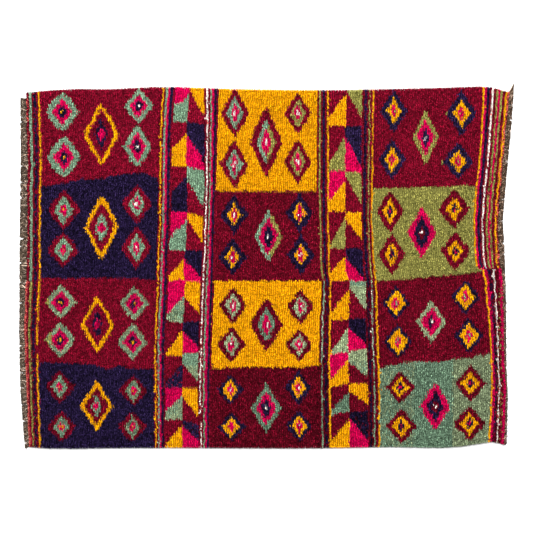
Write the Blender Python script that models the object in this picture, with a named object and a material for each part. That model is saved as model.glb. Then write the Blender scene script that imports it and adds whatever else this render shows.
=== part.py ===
"""Tulu rug: a shaggy wool pile knotted on a woven ground, with a short matted fringe at both ends.

Sizes are in metres. X runs along the rug's length with the warps, Y runs across it with the rows of
knots, and Z is up. The rug lies flat on Z = 0, and its origin is in the middle of its underside.
"""
from collections import namedtuple
from random import Random

import bmesh
import bpy
from mathutils import Matrix, Vector, noise

RUG_NAME = "tulu_rug"
SEED = 7

# Thicknesses of the rug, from the floor up
GROUND_THICK = 0.0045
PILE_TOP = 0.0180
RIM_TOP = 0.0145
LUMP_HEIGHT = 0.0030
LUMP_SPACING = 0.07

# The pile hangs over the ground's edge in small locks of wool
GROUND_INSET = 0.0060
RIM_INSET = 0.0030
LOCK_TAPER = 0.40
LOCK_SPREAD = 0.0015
LOCK_DROOP = 0.0010

# Cells of the pile's top, and the locks along the edge of each outer cell
CELLS_ALONG = 34
CELLS_ACROSS = 24
LOCKS_PER_CELL = 3

# The woven strip at each end, and the strands of warp that leave it
SEAT_GAP = 0.0004
STRIP_WIDTH = 0.0045
STRIP_THICK = 0.0030
STRANDS_PER_LOCK = 2
STRAND_SHARE = 0.74
STRAND_UNEVEN = 0.14
STRAND_SWAY = 0.0011

WOOL_ROUGHNESS = 0.95
PILE_CRIMSON = (0.21, 0.008, 0.022, 1.0)
FRINGE_TAUPE = (0.16, 0.125, 0.095, 1.0)

# The two long edges of the pile, from the left end to the right end
Side = namedtuple("Side", "along upper lower")
SIDES = (
    Side(-0.880, 0.631, -0.658),
    Side(-0.800, 0.639, -0.664),
    Side(-0.690, 0.645, -0.665),
    Side(-0.580, 0.644, -0.663),
    Side(-0.415, 0.652, -0.662),
    Side(-0.320, 0.652, -0.662),
    Side(-0.140, 0.645, -0.663),
    Side(0.095, 0.641, -0.664),
    Side(0.266, 0.641, -0.662),
    Side(0.450, 0.645, -0.659),
    Side(0.637, 0.649, -0.662),
    Side(0.710, 0.652, -0.657),
    Side(0.776, 0.654, -0.647),
    Side(0.818, 0.651, -0.640),
    Side(0.875, 0.635, -0.651),
)

# The two short ends, from the lower corner to the upper one: where the pile stops, how far out the
# fringe reaches, and how far its tips lean towards the upper edge
End = namedtuple("End", "across pile tips lean")
LEFT_END = (
    End(-0.657, -0.8663, -0.8820, -0.014),
    End(-0.610, -0.8685, -0.8850, -0.006),
    End(-0.561, -0.8700, -0.8880, 0.000),
    End(-0.488, -0.8751, -0.8933, 0.000),
    End(-0.379, -0.8827, -0.8995, 0.000),
    End(-0.233, -0.8816, -0.9027, 0.000),
    End(-0.087, -0.8802, -0.9013, 0.000),
    End(-0.051, -0.8736, -0.9011, 0.000),
    End(0.095, -0.8743, -0.9009, 0.000),
    End(0.240, -0.8736, -0.9002, 0.000),
    End(0.313, -0.8689, -0.8997, 0.000),
    End(0.495, -0.8718, -0.8991, 0.000),
    End(0.568, -0.8758, -0.8991, 0.000),
    End(0.608, -0.8790, -0.8985, -0.002),
    End(0.632, -0.8740, -0.8800, -0.003),
)
RIGHT_END = (
    End(-0.650, 0.8620, 0.8735, 0.000),
    End(-0.582, 0.8663, 0.8760, 0.000),
    End(-0.528, 0.8714, 0.8780, 0.000),
    End(-0.200, 0.8638, 0.8715, 0.000),
    End(-0.120, 0.8609, 0.8705, 0.000),
    End(-0.051, 0.8576, 0.8700, 0.000),
    End(-0.007, 0.8554, 0.8695, 0.000),
    End(0.022, 0.8445, 0.8680, 0.000),
    End(0.120, 0.8387, 0.8590, 0.000),
    End(0.186, 0.8434, 0.8610, 0.000),
    End(0.328, 0.8539, 0.8735, 0.000),
    End(0.426, 0.8641, 0.8830, 0.000),
    End(0.484, 0.8681, 0.8885, 0.000),
    End(0.539, 0.8667, 0.8925, 0.001),
    End(0.586, 0.8714, 0.8965, 0.010),
    End(0.634, 0.8785, 0.9013, 0.031),
)


def mix(low, high, share):
    """Value at a share of the way from low to high."""
    return low + (high - low) * share


def read(table, key, column, at):
    """One column of a table where its key column has the value at, straight between two rows."""
    for before, after in zip(table, table[1:]):
        if at <= getattr(after, key):
            break
    span = getattr(after, key) - getattr(before, key)
    share = min(max((at - getattr(before, key)) / span, 0.0), 1.0)
    return mix(getattr(before, column), getattr(after, column), share)


def place(along, across, inset):
    """Point at shares of the rug's length and width, with its outline drawn in by inset."""
    x = 0.0
    for _ in range(3):
        lower = read(SIDES, "along", "lower", x) + inset
        upper = read(SIDES, "along", "upper", x) - inset
        y = mix(lower, upper, across)
        left = read(LEFT_END, "across", "pile", y) + inset
        right = read(RIGHT_END, "across", "pile", y) - inset
        x = mix(left, right, along)
    return Vector((x, y, 0.0))


def lump(point):
    """Height of the uneven pile at a point."""
    return LUMP_HEIGHT * noise.noise(point / LUMP_SPACING)


def new_object(name, bm, colour):
    """An object of the rug's collection from a finished bmesh, in wool of one colour."""
    bmesh.ops.recalc_face_normals(bm, faces=bm.faces[:])
    mesh = bpy.data.meshes.new(name)
    bm.to_mesh(mesh)
    bm.free()
    wool = bpy.data.materials.new(name + "_wool")
    wool.use_nodes = True
    shader = wool.node_tree.nodes["Principled BSDF"]
    shader.inputs["Base Color"].default_value = colour
    shader.inputs["Roughness"].default_value = WOOL_ROUGHNESS
    shader.inputs["Metallic"].default_value = 0.0
    mesh.materials.append(wool)
    piece = bpy.data.objects.new(name, mesh)
    bpy.data.collections[RUG_NAME].objects.link(piece)
    return piece


def grow_locks(bm, band):
    """Draws each face of the pile's rim out into a tapered lock of wool."""
    rng = Random(SEED)
    tips = bmesh.ops.extrude_discrete_faces(bm, faces=band)["faces"]
    tips.sort(key=lambda tip: tuple(round(value, 4) for value in tip.calc_center_median()))
    for tip in tips:
        centre = tip.calc_center_median()
        outward = Vector((tip.normal.x, tip.normal.y, 0.0)).normalized()
        reach = (GROUND_INSET + RIM_INSET) / 2 + rng.uniform(-LOCK_SPREAD, LOCK_SPREAD)
        drift = Vector((-outward.y, outward.x, 0.0)) * rng.uniform(-LOCK_SPREAD, LOCK_SPREAD)
        droop = Vector((0.0, 0.0, -LOCK_DROOP))
        taper = (LOCK_TAPER, LOCK_TAPER, LOCK_TAPER)
        bmesh.ops.scale(bm, vec=taper, space=Matrix.Translation(-centre), verts=tip.verts)
        bmesh.ops.translate(bm, vec=outward * reach + drift + droop, verts=tip.verts)


def knotted_rug():
    """The pile and its ground as one lumpy slab with a flat underside and locks along its rim."""
    bm = bmesh.new()
    bmesh.ops.create_grid(bm, x_segments=CELLS_ALONG, y_segments=CELLS_ACROSS, size=1.0)
    rim = [edge for edge in bm.edges if edge.is_boundary]
    bmesh.ops.bisect_edges(bm, edges=rim, cuts=LOCKS_PER_CELL - 1)
    for _ in ("pile rim", "ground edge"):
        rim = [edge for edge in bm.edges if edge.is_boundary]
        skirt = bmesh.ops.extrude_edge_only(bm, edges=rim)["geom"]
        hem = [item for item in skirt if isinstance(item, bmesh.types.BMVert)]
        bmesh.ops.translate(bm, vec=(0.0, 0.0, -1.0), verts=hem)
    rim = [edge for edge in bm.edges if edge.is_boundary]
    bmesh.ops.contextual_create(bm, geom=rim)

    sides = [face for face in bm.faces if abs(face.normal.z) < 0.5]
    band = [face for face in sides if max(vert.co.z for vert in face.verts) > -0.5]
    rim_verts = {vert for face in band for vert in face.verts}
    for vert in bm.verts:
        along = (vert.co.x + 1) / 2
        across = (vert.co.y + 1) / 2
        if vert.co.z < -1.5:
            vert.co = place(along, across, GROUND_INSET)
        elif vert.co.z < -0.5:
            vert.co = place(along, across, GROUND_INSET)
            vert.co.z = GROUND_THICK
        else:
            point = place(along, across, RIM_INSET)
            top = RIM_TOP if vert in rim_verts else PILE_TOP
            vert.co = point + Vector((0.0, 0.0, top + lump(point)))
    bmesh.ops.recalc_face_normals(bm, faces=bm.faces[:])
    bm.normal_update()
    grow_locks(bm, band)
    return new_object("knotted_rug", bm, PILE_CRIMSON)


def ground_edge(end_share, across):
    """Point on the ground's end line, on the straight run between two locks of the pile's rim."""
    steps = CELLS_ACROSS * LOCKS_PER_CELL
    step = min(int(across * steps), steps - 1)
    start = place(end_share, step / steps, GROUND_INSET)
    stop = place(end_share, (step + 1) / steps, GROUND_INSET)
    return start.lerp(stop, across * steps - step)


def draw_out(bm, faces, tips, share, narrow, thin):
    """Extrudes each strand on to a share of the way to its tip, narrower and thinner, flat below."""
    ends = bmesh.ops.extrude_discrete_faces(bm, faces=faces)["faces"]
    ends.sort(key=lambda end: end.calc_center_median().y)
    for end, tip in zip(ends, tips):
        centre = end.calc_center_median()
        target = centre.lerp(tip, share)
        for vert in end.verts:
            vert.co.x += target.x - centre.x
            vert.co.y = target.y + (vert.co.y - centre.y) * narrow
            vert.co.z *= thin
    return ends


def fringe(name, table, end_share, outward, seed):
    """A narrow woven strip along one end, with flat tapered strands that stand apart but for their roots."""
    rng = Random(seed)
    strands = CELLS_ACROSS * LOCKS_PER_CELL * STRANDS_PER_LOCK
    bm = bmesh.new()
    bmesh.ops.create_grid(bm, x_segments=1, y_segments=strands * 2, size=1.0)
    for vert in bm.verts:
        line = round((vert.co.y + 1) * strands)
        across = (line // 2 + STRAND_SHARE * (line % 2)) / strands
        leaves_strip = vert.co.x > 0.0
        vert.co = ground_edge(end_share, across)
        vert.co.x += outward * (SEAT_GAP + STRIP_WIDTH * leaves_strip)
    top = bmesh.ops.extrude_face_region(bm, geom=bm.faces[:], use_keep_orig=True)["geom"]
    raised = [item for item in top if isinstance(item, bmesh.types.BMVert)]
    bmesh.ops.translate(bm, vec=(0.0, 0.0, STRIP_THICK), verts=raised)
    bmesh.ops.recalc_face_normals(bm, faces=bm.faces[:])
    bm.normal_update()

    outer = [face for face in bm.faces if face.normal.x * outward > 0.5]
    outer.sort(key=lambda face: face.calc_center_median().y)
    roots = outer[::2]
    tips = []
    for root in roots:
        centre = root.calc_center_median()
        reach = read(table, "across", "tips", centre.y) - centre.x
        lean = read(table, "across", "lean", centre.y)
        grown = 1.0 - rng.uniform(0.0, STRAND_UNEVEN)
        tip_x = centre.x + reach * grown
        tip_y = centre.y + lean * grown + rng.uniform(-STRAND_SWAY, STRAND_SWAY)
        tips.append(Vector((tip_x, tip_y, centre.z)))
    middles = draw_out(bm, roots, tips, share=0.5, narrow=0.95, thin=0.9)
    draw_out(bm, middles, tips, share=1.0, narrow=0.50, thin=0.7)
    return new_object(name, bm, FRINGE_TAUPE)


def centre_on_origin(pieces):
    """Moves the pieces' points so that the whole rug's box is centred on X = 0 and Y = 0."""
    points = [vert.co for piece in pieces for vert in piece.data.vertices]
    middle_x = (min(point.x for point in points) + max(point.x for point in points)) / 2
    middle_y = (min(point.y for point in points) + max(point.y for point in points)) / 2
    for piece in pieces:
        piece.data.transform(Matrix.Translation((-middle_x, -middle_y, 0.0)))


def main():
    for old in list(bpy.data.objects):
        bpy.data.objects.remove(old, do_unlink=True)
    collection = bpy.data.collections.new(RUG_NAME)
    bpy.context.scene.collection.children.link(collection)
    pieces = (
        knotted_rug(),
        fringe("fringe_left", LEFT_END, end_share=0.0, outward=-1, seed=SEED + 1),
        fringe("fringe_right", RIGHT_END, end_share=1.0, outward=1, seed=SEED + 2),
    )
    centre_on_origin(pieces)


main()
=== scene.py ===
"""Finish of a tulu rug: knotted locks of wool on a woven ground, and matted warp ends.

Sizes are in metres. X runs along the rug's length with the warps, Y runs across it with the rows of
knots, and Z is up. The pattern is a chart whose square is one pixel of the 533 x 533 photograph, counted
from its upper left corner: along counts to the right, in X, and across counts down, against Y. Its rows
were read from enlarged crops, and many were corrected with measurements of the photograph.
"""
from collections import namedtuple
from functools import partial
from math import pi, radians, tau

import bmesh
import bpy
import numpy as np
from mathutils import Euler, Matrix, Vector, noise


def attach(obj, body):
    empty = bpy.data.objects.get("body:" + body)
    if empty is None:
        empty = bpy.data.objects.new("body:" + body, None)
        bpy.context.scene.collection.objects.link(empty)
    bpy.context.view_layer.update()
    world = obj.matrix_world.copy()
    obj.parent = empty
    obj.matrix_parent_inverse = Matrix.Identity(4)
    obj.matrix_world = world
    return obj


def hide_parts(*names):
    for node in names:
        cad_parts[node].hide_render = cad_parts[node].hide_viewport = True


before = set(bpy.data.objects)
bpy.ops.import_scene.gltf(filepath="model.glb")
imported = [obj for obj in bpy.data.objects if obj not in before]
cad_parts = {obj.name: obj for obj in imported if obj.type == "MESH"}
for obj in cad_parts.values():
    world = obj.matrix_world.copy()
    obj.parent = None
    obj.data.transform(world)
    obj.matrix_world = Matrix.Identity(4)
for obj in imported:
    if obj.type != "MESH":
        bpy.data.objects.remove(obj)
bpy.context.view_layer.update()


def table(columns, rows, defaults=()):
    """Rows with named columns. The defaults are those of the last columns."""
    row = namedtuple("Row", columns, defaults=defaults)
    return tuple(row(*cells) for cells in rows)


def tables(columns, groups, defaults=()):
    """Named tables that have the same columns."""
    return {name: table(columns, rows, defaults) for name, rows in groups.items()}


SEED = 11
NOISE_LAYER = 7.31

# The chart's square, a pixel of the photograph, and the point of the chart that lies on the rug's middle
CHART_SQUARE = 0.00364
MIDDLE_ALONG = 266.437
MIDDLE_ACROSS = 267.54

# Camera straight above the chart's view
VIEW_MIDDLE = 266.5
VIEW_WIDTH = 1.940
CAMERA_LENS = 110.0
CAMERA_SENSOR = 36.0

# Light and floor
LAMP_POWER = 1000.0
LAMP_DISTANCE = 7.0
LAMP_WIDTH = 5.8
LAMP_TILT = radians(34)
LAMP_TURN = radians(12)
SKY_STRENGTH = 0.62
FLOOR_HALF = 20.0
FLOOR_DROP = 0.0003
FLOOR_GREY = 0.9

# Rows of knots, whose places on the chart settle in a few rounds. Each row shows two lines of locks,
# with a groove beside it.
SETTLING_ROUNDS = 3
GROUND_THICK = 0.0045
KNOTS_ACROSS = 250
KNOT_INSET = 0.0036
LOCKS_A_KNOT = 2
NARROW_LINES = 4
GROOVE_DEPTH = 0.0012
ROW_PINCH = 0.22
ROW_SHADE = 0.04
GOLDEN_ANGLE = 2.399

# How far knots and locks slip from their place on the chart, in squares, and knots in shares of a knot
KNOT_SLIP = 0.40
KNOT_JOG = 0.22
LOCK_SLIP = 0.12
DRIFT_SPACING = 0.017
DRIFT = 1.3
STRIPE_DRIFT = 0.4

# One lock: it leans, falls forward or back with the nap, and hangs from its shoulder to its tip
LOCK_LENGTH = 0.0090
LENGTH_VARIES = (0.75, 1.25)
LOCK_WIDTHS = (0.0022, 0.0042)
WIDTH_VARIES = (0.8, 1.2)
LOCK_OVERLAP = 1.08
LOCK_SPREAD = 0.58
LOCK_THICK = 0.0032
LOCK_JITTER = 0.0005
SHOULDER_SHARE = 0.30
TIP_DROPS = (0.0016, 0.0054)
ROOT_BACK = 0.0034
ROOT_SCATTER = 0.0006
ROOT_SUNK = 0.0012
LEAN_SPACING = 0.022
LEAN_WANDER = radians(12)
LEAN_UNEVEN = radians(10)
LEAN_MOST = radians(62)
NAP_SPACING = LEAN_SPACING * 1.4
NAP_UNEVEN = 0.55
NAP_BACK = -0.15
YARN_SHARES = (0.0, 0.8, 1.0)
LOCKS_PER_PIECE = 32000

# Height of the pile, its lumps and clumps, and its fall towards the rim
PILE_TOP = 0.0178
PILE_UNEVEN = 0.0042
UNEVEN_SHAPE = (1.3, 2.2)
LUMP_SPACING = 0.075
LUMP_HEIGHT = 0.0028
CLUMP_SPACING = 0.017
CLUMP_PULL = 0.00099
CLUMP_HEIGHT = 0.0022
SLOPE_STEP = 0.002
RIM_DROP = 0.0055
RIM_REACH = 0.014
RIM_LEAN = 0.45
RIM_LENGTH = 0.72

# Locks that hang over the rim, in an upper and a lower row: heights of their shoulders and tips. Their
# rows end at the corners, given in squares, and each lock takes the wool of the chart a little way in.
RIM_ROWS = table("shoulders tips", (
    ((0.0105, 0.0135), (0.0055, 0.0085)),
    ((0.0065, 0.0090), (0.0012, 0.0040)),
))
RIM_SPACING = 0.0030
RIM_JOG = 0.3
LONG_SIDES = table("edge left_corner right_corner outward", (
    ("upper", 100, 95, 1.0), ("lower", 440, 440, -1.0),
))
RIM_TOP = 93.5
RIM_BOTTOM = 443.5
RIM_LINES = 352
CORNER_INSET = 0.6
EDGE_FAN = 0.30
END_FAN = 0.35
EDGE_WOOL = 2.2
END_WOOL = 1.2
END_TUCK = 0.0024
END_RAGGED = 0.0030
RIM_ROOT_IN = 0.0095
RIM_ROOT_SUNK = 0.001
RIM_SHOULDERS_IN = (0.0048, 0.0066)
RIM_TIPS_IN = (-0.0040, -0.0026)
RIM_WIDTHS = (0.0038, 0.0054)
RIM_SHADES = (0.92, 1.05)

# Ground: how far it lies in from the pile's outline, and its faces between the long edges and the seams
GROUND_INSET = 0.0060
GROUND_FACES = 84
KNOTS_A_FACE = 2
GROUND_BANDS = table("start stop rows", (
    ("left_edge", "a", 8), ("a", "ab", 60), ("ab", "b", 6), ("b", "b_mid", 8), ("b_mid", "bc", 8),
    ("bc", "c", 7), ("c", "cd", 52), ("cd", "d", 6), ("d", "d_mid", 9), ("d_mid", "de", 9),
    ("de", "e", 6), ("e", "ends", 54), ("ends", "right_edge", 12),
))

# Warp ends: loose strands, fine wisps that mat them, and the felted strip that holds them. Their places,
# lengths and sway are in chart squares, and their thickness and height in metres.
STRANDS_AN_END = 420
STRAND_RINGS = 8
STRAND_JOG = 0.5
STRAND_TUCK = 1.6
STRAND_REACHES = (0.86, 1.05)
STRAND_SWAY = 1.5
STRAND_CURL = 0.8
CURL_TURNS = (3.0, 8.0)
STRAND_RADIUS = 0.0018
RADIUS_VARIES = (0.7, 1.2)
STRAND_TAPER = 0.55
STRAND_LIFT = 0.0022
LIFT_FALL = 0.7
STRAND_TWISTS = (1.2, 2.2)
ABOVE_FLOOR = 0.0001
GAP_HALF = 1.0
GAP_REACHES = (0.45, 0.80)
GAP_CHANCES = (0.85, 1.0)
WISPS_AN_END = 1500
WISP_RINGS = 5
WISP_TUCK = 0.5
WISP_PLACES = (0.1, 0.92)
WISP_LENGTHS = (1.6, 4.2)
WISP_BEND = 1.6
WISP_RADIUS = 0.0010
WISP_VARIES = (0.6, 1.3)
WISP_TAPER = 0.5
WISP_HEIGHTS = (0.0022, 0.0045)
STRIP_SQUARES = (4, 520)
STRIP_THICK = 0.0022
STRIP_LUMP = 0.0007
STRIP_LUMP_PACE = 300.0
STRIP_TUCK = 1.5
STRIP_GAP_HALF = 0.75
STRIP_REACH = 1.03
STRIP_GAP_REACH = 0.62
STRIP_RAGGED = table("size pace layer", ((0.08, 0.23, 1.0), (0.06, 0.9, 3.0)))
# The felted strip is darkened with painted shade, so that it reads dark in the gaps between the warp ends on
# it
STRIP_PAINTED_SHADE = 0.48
# Shares up the yarn of a warp end, from the pile to its tip, for its painted root shade: darker towards the
# pile
WARP_SHARES = (0.55, 1.0)
WARP_LIGHT = (0.24, 1.05)
PALE_WARPS = 0.76
PALE_LIGHT = 2.4

# Wools of the pile and the warps: their colour, how much one lock differs from the next, how strongly
# the wool is flecked, how pale its flecks are (partly bleached fibre, partly a painted sheen of fibres
# catching the light), how much painted shade darkens the grooves between its rows (with painted light
# on the lines beside them), how much redder its dark parts are, its painted shade among them, and its
# slot
Yarn = namedtuple("Yarn", "colour unevenness mottle bleach groove warmth slot")
YARNS = {
    "crimson": Yarn((0.236, 0.0025, 0.0200), 1.20, 6.2, 0.05, 0.58, 0.0, "pile_crimson"),
    "navy": Yarn((0.0170, 0.0092, 0.0410), 1.90, 8.6, 0.02, 0.58, 0.0, "pile_navy"),
    "saffron": Yarn((0.910, 0.425, 0.0027), 0.55, 2.7, 0.0, 0.60, 0.42, "pile_saffron"),
    "sea_green": Yarn((0.232, 0.378, 0.246), 0.85, 5.8, 0.03, 0.46, 0.0, "pile_sea_green"),
    "moss": Yarn((0.345, 0.428, 0.240), 0.75, 5.2, 0.03, 0.46, 0.0, "pile_sea_green"),
    "olive": Yarn((0.350, 0.330, 0.080), 0.80, 5.4, 0.02, 0.46, 0.0, "pile_olive"),
    "pink": Yarn((0.725, 0.0010, 0.0910), 0.85, 3.4, 0.02, 0.46, 0.0, "pile_pink"),
    "cream": Yarn((0.950, 0.850, 0.780), 0.60, 2.4, 0.0, 0.46, 0.0, "pile_cream"),
    "salmon": Yarn((0.760, 0.130, 0.110), 0.70, 2.0, 0.03, 0.46, 0.0, "pile_salmon"),
}
YARN_NAMES = tuple(YARNS)
LEFT_WARP = Yarn((0.158, 0.112, 0.078), 0.3, 6.5, 0.12, 0.0, 0.0, "fringe_taupe")
RIGHT_WARP = Yarn((0.146, 0.089, 0.056), 0.3, 6.5, 0.12, 0.0, 0.0, "fringe_taupe")
GROUND_BROWN = (0.100, 0.062, 0.040)
SMALL_PINK_DYE = 0.88
DARK_DYE_UNEVEN = 1.3

# Looks of the wool: scales of its streaks and flecks, each one's light as a gain and a start or as two
# limits, heights of its bumps, and the painted shade of the roots: darker deep down among the locks,
# partly the deeper dye of the wool's base
FIBRE_SCALE = (1500.0, 260.0, 1500.0)
FLECK_SCALE = (330.0, 270.0, 330.0)
GROUND_SCALE = (260.0, 260.0, 260.0)
FIBRE_LIGHT = (0.5, 0.75)
FLECK_LIGHTS = (0.2, 1.42)
GROUND_LIGHT = (0.7, 0.6)
FIBRE_HEIGHT = 0.0006
KNOT_HEIGHT = 0.0012
WEFT_SHARE = 0.14
ROOT_PAINTED_SHADE = 0.62
ROOT_FADE = 1.4
BRIGHT_DYE = 1.5
PILE_RELIEF = 0.5
WARP_RELIEF = 0.6
WARP_ROOT_PAINTED_SHADE = 0.5

# The two long edges of the pile, as chart lines
EDGES = table("along upper lower", (
    (25, 92.6, 446.8), (47, 90.4, 448.4), (77, 88.8, 448.7), (108, 89.1, 448.1), (153, 86.9, 447.9),
    (179, 86.9, 447.9), (228, 88.8, 448.1), (293, 89.9, 448.4), (340, 89.9, 447.9), (391, 88.8, 447.0),
    (442, 87.7, 447.9), (462, 86.9, 446.5), (480, 86.3, 443.7), (492, 87.2, 441.8), (507, 91.5, 444.8),
))

# Lines between the bands of the pattern, from left to right: how far along each one runs where the
# chart lines of SEAM_LINES cross it. A scratch script interpolated typed points onto these shared lines.
SEAM_LINES = (88, 130, 160, 190, 220, 250, 268, 270, 284, 330, 360, 390, 446)
SEAMS = {
    "left_edge": (25.7, 26.3, 27.6, 26.6, 27.1, 26.8, 26.2, 26.2, 25.5, 23.8, 24.9, 26.3, 28.6),
    "a": (39.2, 41.1, 41.9, 41.1, 40.8, 40.5, 41.3, 41.4, 40.3, 38.1, 38.3, 39.0, 41.0),
    "ab": (160.9, 158.6, 158.3, 158.0, 157.7, 156.6, 156.2, 156.2, 156.2, 153.4, 153.1, 153.9, 154.1),
    "b": (175.5, 172.4, 171.7, 171.4, 171.1, 169.2, 168.8, 168.8, 168.5, 166.4, 165.9, 165.4, 165.4),
    "b_mid": (189.5, 186.6, 186.4, 187.3, 187.2, 185.5, 183.2, 183.0, 185.4, 182.8, 182.6, 182.5, 182.3),
    "bc": (204.0, 204.8, 204.4, 204.4, 203.1, 202.3, 201.4, 201.2, 200.3, 199.0, 198.2, 197.5, 199.5),
    "c": (218.9, 217.9, 217.0, 216.1, 215.5, 215.0, 214.6, 214.6, 214.3, 212.4, 211.3, 210.9, 210.3),
    "cd": (317.5, 317.2, 317.1, 316.9, 318.0, 318.5, 318.8, 318.8, 322.2, 319.7, 319.2, 319.2, 319.8),
    "d": (328.7, 328.9, 329.1, 329.0, 328.9, 329.7, 329.9, 329.9, 331.5, 330.8, 330.2, 330.9, 331.5),
    "d_mid": (347.3, 345.3, 345.4, 345.4, 345.5, 345.5, 345.9, 346.0, 349.8, 348.3, 348.3, 349.1, 349.8),
    "de": (362.5, 362.0, 361.6, 361.4, 361.4, 362.4, 363.0, 363.1, 366.0, 366.0, 367.1, 368.2, 368.5),
    "e": (374.3, 373.7, 373.3, 372.8, 372.3, 374.0, 375.0, 375.1, 377.0, 378.1, 379.2, 380.3, 380.3),
    "ends": (483.3, 481.3, 479.1, 475.6, 473.6, 474.4, 476.7, 482.2, 484.8, 489.5, 490.9, 491.4, 488.2),
    "right_edge": (510.5, 506.0, 503.4, 500.6, 498.0, 499.0, 500.6,
                   502.3, 503.3, 504.3, 504.4, 506.4, 504.5),
}

# Wavers of the seams: their size in squares, then the pace of a wave and of the wave that it beats with,
# each with how far it is shifted from seam to seam
SEAM_SHIFT = 2.3
WAVERS = table("size pace shift beat beat_shift", (
    (0.35, 0.31, 1.0, 0.127, 1.7), (0.25, 1.13, 3.1, 0.71, 1.0),
))

# Bands between two seams, from left to right, and their stripes: the pattern up to a share of the band's
# width, and its lines of locks. A band is charted over the whole rug, or apart above and below the line
# where the weaver changed yarns (HALF, and ENDS_HALF in the last band).
TOP = 60.0
HALF = 281.0
ENDS_HALF = 268
BOTTOM = 480.0
EDGE_SHARE = 0.001
# Narrow crimson stripes are darkened with painted shade, for the valleys they lie in between brighter
# stripes; narrow pink stripes are darker too
STRIPE_DYES_AND_SHADE = {"crimson": 0.85, "pink": 0.82}
Stripe = namedtuple("Stripe", "pattern begins ends lines")
BANDS = table("start stop top bottom stripes", (
    ("left_edge", "a", TOP, HALF, (
        ("crimson", 0.20, 2), ("sea_green", 0.41, 2), ("crimson", 0.53, 2), ("navy", 0.7, 2),
        ("crimson", 0.845, 1), ("saffron", 0.955, 2), ("crimson", 1.00, 1))),
    ("left_edge", "a", HALF, BOTTOM, (
        ("salmon", 0.12, 2), ("crimson", 0.29, 2), ("olive", 0.44, 2), ("crimson", 0.55, 2),
        ("navy", 0.72, 2), ("crimson", 0.85, 1), ("saffron", 0.96, 2), ("crimson", 1.00, 1))),
    ("a", "ab", TOP, BOTTOM, (("panels A", 1.00, 120),)),
    ("ab", "b", TOP, BOTTOM, (
        ("crimson", 0.105, 1), ("saffron", 0.225, 2), ("crimson", 0.36, 1), ("sea_green", 0.48, 2),
        ("pink", 0.64, 2), ("navy", 0.86, 3), ("crimson", 1.00, 2))),
    ("b", "b_mid", TOP, BOTTOM, (("triangles B left", 1.00, 16),)),
    ("b_mid", "bc", TOP, BOTTOM, (("triangles B right", 1.00, 16),)),
    ("bc", "c", TOP, HALF, (
        ("crimson", 0.145, 2), ("cream", 0.245, 1), ("crimson", 0.41, 2), ("sea_green", 0.51, 2),
        ("pink", 0.685, 2), ("navy", 0.87, 2), ("crimson", 1.00, 2))),
    ("bc", "c", HALF, BOTTOM, (
        ("crimson", 0.135, 2), ("cream", 0.225, 1), ("crimson", 0.39, 2), ("sea_green", 0.50, 2),
        ("pink", 0.71, 2), ("navy", 0.865, 2), ("crimson", 1.00, 2))),
    ("c", "cd", TOP, BOTTOM, (("panels C", 1.00, 104),)),
    ("cd", "d", TOP, HALF, (
        ("crimson", 0.15, 2), ("olive", 0.285, 2), ("crimson", 0.45, 2), ("navy", 0.67, 2),
        ("crimson", 0.86, 2), ("saffron", 1.00, 2))),
    ("cd", "d", HALF, BOTTOM, (
        ("crimson", 0.19, 2), ("sea_green", 0.30, 2), ("crimson", 0.45, 2), ("navy", 0.72, 3),
        ("crimson", 0.84, 2), ("saffron", 1.00, 2))),
    ("d", "d_mid", TOP, BOTTOM, (("triangles D left", 1.00, 17),)),
    ("d_mid", "de", TOP, BOTTOM, (("triangles D right", 1.00, 17),)),
    ("de", "e", TOP, HALF, (
        ("crimson", 0.19, 2), ("navy", 0.415, 3), ("crimson", 0.58, 2), ("olive", 0.69, 2),
        ("crimson", 0.88, 2), ("saffron", 1.00, 2))),
    ("de", "e", HALF, BOTTOM, (
        ("crimson", 0.14, 2), ("navy", 0.33, 2), ("crimson", 0.48, 2), ("sea_green", 0.59, 2),
        ("crimson", 0.85, 3), ("saffron", 1.00, 2))),
    ("e", "ends", TOP, BOTTOM, (("panels E", 1.00, 108),)),
    ("ends", "right_edge", TOP, ENDS_HALF, (
        ("saffron", 0.06, 2), ("pink", 0.155, 2), ("navy", 0.267, 2), ("crimson", 0.348, 1),
        ("cream", 0.405, 1), ("crimson", 0.515, 2), ("olive", 0.58, 2), ("pink", 0.665, 2),
        ("olive", 0.735, 2), ("crimson", 0.86, 2), ("saffron", 0.935, 2), ("salmon", 1.00, 1))),
    ("ends", "right_edge", ENDS_HALF, BOTTOM, (
        ("saffron", 0.11, 2), ("pink", 0.27, 3), ("navy", 0.43, 3), ("crimson", 0.515, 1),
        ("cream", 0.592, 2), ("crimson", 0.825, 4), ("pink", 1.00, 3))),
))

# Panels of each wide band, from the top down: their wool, its depth of dye, and the lower border
PANELS = tables("yarn dye border", {
    "panels A": (
        ("crimson", 0.99, ((41, 187), (65, 183), (80, 179.5), (105, 178), (120, 174.5),
                          (140, 172), (157, 177))),
        ("navy", 1.10, ((42, 277.5), (60, 279), (100, 278), (153, 279.7))),
        ("crimson", 0.93, ((42, 363.3), (89, 364), (100, 367), (110, 369), (121, 365.5),
                          (129, 369), (153, 369))),
        ("navy", 1.14, ((42, BOTTOM), (153, BOTTOM))),
    ),
    "panels C": (
        ("saffron", 0.92, ((216, 191), (318, 191))),
        ("crimson", 0.76, ((216, 281), (318, 281))),
        ("saffron", 0.98, ((212, 368), (300, 368), (320, 365))),
        ("crimson", 0.60, ((212, BOTTOM), (320, BOTTOM))),
    ),
    "panels E": (
        ("crimson", 0.93, ((374, 188.6), (430, 187), (478, 185.4))),
        ("olive", 0.90, ((378, 281), (436, 276.6), (480, 271.5))),
        ("crimson", 0.80, ((378, 368.4), (409, 362), (442, 362), (490, 353.8))),
        ("sea_green", 0.84, ((378, BOTTOM), (490, BOTTOM))),
    ),
})

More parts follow.
